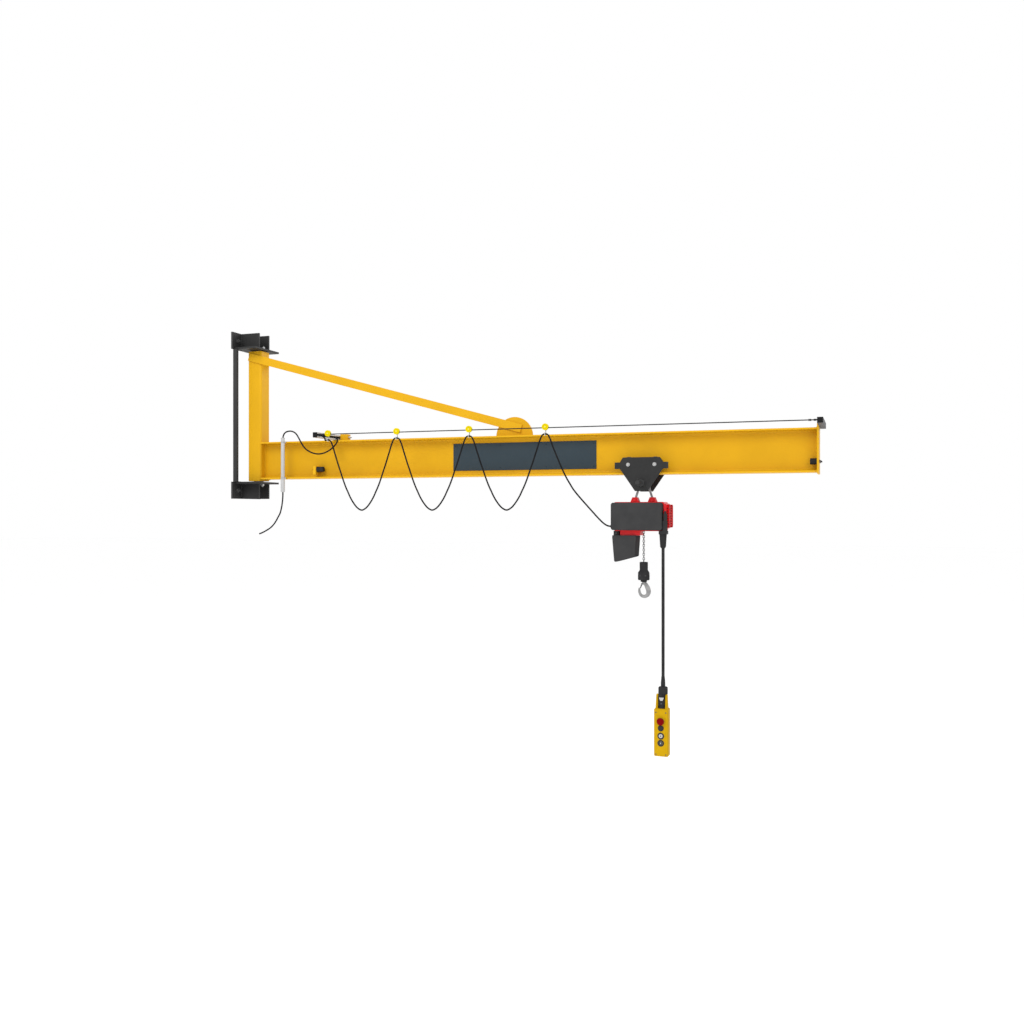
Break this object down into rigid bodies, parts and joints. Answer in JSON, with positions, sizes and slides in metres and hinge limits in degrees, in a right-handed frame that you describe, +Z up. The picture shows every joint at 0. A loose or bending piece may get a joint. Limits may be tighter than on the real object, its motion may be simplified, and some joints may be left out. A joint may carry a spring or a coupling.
{
  "type": "wall-mounted slewing jib crane",
  "caption": "Wall jib crane: two wall consoles carry a slewing column with a tied I-beam jib, on which an electric chain hoist with a hook and a pendant travels on a trolley.",
  "frame": {"origin": "centre of the lower wall plate's back face, on the wall plane", "axes": "+X out from the wall along the jib at rest, +Y to the far side, -Y to the side with the cable run and the pendant's buttons, +Z up"},
  "size_m": [3.656, 0.48, 2.531],
  "materials": {
    "yellow_paint": "satin powder coat",
    "dark_paint": "matt powder coat",
    "zinc": "bright zinc plate",
    "rubber": "matt",
    "cable": "smooth sheath",
    "wire_rope": "dull strand",
    "sign": "matt dark coat",
    "grey_plastic": "smooth",
    "disc_plastic": "gloss",
    "black_plastic": "fine grain",
    "red_paint": "gloss enamel",
    "red_plastic": "gloss",
    "pendant_yellow": "satin",
    "white_plastic": "gloss",
    "hook_steel": "forged, zinc plated",
    "steel_dark": "dark plate"
  },
  "bodies": {
    "wall_frame": {"lower_console": "dark_paint", "upper_console": "dark_paint", "spacer_tubes": "dark_paint", "pivot_pins": "zinc"},
    "jib": {"column": "yellow_paint", "jib_beam": "yellow_paint", "tie_straps": "yellow_paint", "gusset_plate": "yellow_paint", "end_plate": "yellow_paint", "inner_stop": "yellow_paint", "rubber_buffers": "rubber", "inner_arm": "zinc", "outer_arm": "zinc", "arm_bracket": "yellow_paint", "tension_wire": "wire_rope", "sign_plate": "sign", "conduit": "grey_plastic", "supply_cable": "cable", "carrier_1": "disc_plastic", "festoon_1": "cable", "festoon_2": "cable", "festoon_3": "cable", "festoon_4": "cable"},
    "carrier_2": {"carrier_2": "disc_plastic"},
    "carrier_3": {"carrier_3": "disc_plastic"},
    "carrier_4": {"carrier_4": "disc_plastic"},
    "trolley": {"trolley_plates": "dark_paint", "cross_bar": "zinc", "suspension_bracket": "zinc", "hoist_body": "red_paint", "hoist_covers": "black_plastic", "fan_cover": "red_paint", "chain_container": "black_plastic", "load_chain": "zinc", "cable_connector": "black_plastic", "control_cable": "cable", "pendant_body": "pendant_yellow", "pendant_gland": "black_plastic"},
    "front_wheels": {"front_wheels": "steel_dark"},
    "rear_wheels": {"rear_wheels": "steel_dark"},
    "stop_button": {"stop_button": "red_plastic"},
    "black_button": {"black_button": "black_plastic"},
    "white_button": {"white_button": "white_plastic"},
    "grey_button": {"grey_button": "grey_plastic"},
    "hook_block": {"hook_block": "black_plastic"},
    "load_hook": {"load_hook": "hook_steel"},
    "hook_latch": {"hook_latch": "steel_dark"}
  },
  "joints": [
    {"name": "slew", "type": "hinge", "parent": "wall_frame", "child": "jib", "pos_m": [0.104, 0, 0.484], "axis": [0, 0, 1], "range_deg": [-70, 80]},
    {"name": "trolley_travel", "type": "slide", "parent": "jib", "child": "trolley", "axis": [1, 0, 0], "range_m": [-1.935, 0.785], "deforming": ["festoon_1", "festoon_2", "festoon_3", "festoon_4"]},
    {"name": "carrier_2_travel", "type": "slide", "parent": "jib", "child": "carrier_2", "axis": [1, 0, 0], "range_m": [-0.4025, 0.1645]},
    {"name": "carrier_3_travel", "type": "slide", "parent": "jib", "child": "carrier_3", "axis": [1, 0, 0], "range_m": [-0.8031, 0.327]},
    {"name": "carrier_4_travel", "type": "slide", "parent": "jib", "child": "carrier_4", "axis": [1, 0, 0], "range_m": [-1.2017, 0.4887]},
    {"name": "front_wheels_spin", "type": "hinge", "parent": "trolley", "child": "front_wheels", "pos_m": [2.7435, 0, 0.1271], "axis": [0, 1, 0], "continuous": true},
    {"name": "rear_wheels_spin", "type": "hinge", "parent": "trolley", "child": "rear_wheels", "pos_m": [2.5925, 0, 0.1271], "axis": [0, 1, 0], "continuous": true},
    {"name": "stop_press", "type": "slide", "parent": "trolley", "child": "stop_button", "axis": [0.0175, 0.9998, 0], "range_m": [0, 0.004], "stiffness_N_per_m": 900},
    {"name": "black_press", "type": "slide", "parent": "trolley", "child": "black_button", "axis": [0.0175, 0.9998, 0], "range_m": [0, 0.004], "stiffness_N_per_m": 600},
    {"name": "white_press", "type": "slide", "parent": "trolley", "child": "white_button", "axis": [0.0175, 0.9998, 0], "range_m": [0, 0.004], "stiffness_N_per_m": 600},
    {"name": "grey_press", "type": "slide", "parent": "trolley", "child": "grey_button", "axis": [0.0175, 0.9998, 0], "range_m": [0, 0.004], "stiffness_N_per_m": 600},
    {"name": "hook_lift", "type": "slide", "parent": "trolley", "child": "hook_block", "axis": [0, 0, 1], "range_m": [-1.3, 0.11], "deforming": ["load_chain"]},
    {"name": "hook_swivel", "type": "hinge", "parent": "hook_block", "child": "load_hook", "pos_m": [2.6665, 0, -0.54], "axis": [0, 0, 1], "continuous": true},
    {"name": "latch_swing", "type": "hinge", "parent": "load_hook", "child": "hook_latch", "pos_m": [2.6555, 0, -0.551], "axis": [0, -1, 0], "range_deg": [0, 35], "stiffness_Nm_per_rad": 0.05, "springref_deg": -5.73}
  ],
  "couplings": [
    {"joint": "carrier_2_travel", "follows": "trolley_travel", "ratio": 0.207},
    {"joint": "carrier_3_travel", "follows": "trolley_travel", "ratio": 0.414},
    {"joint": "carrier_4_travel", "follows": "trolley_travel", "ratio": 0.62}
  ]
}
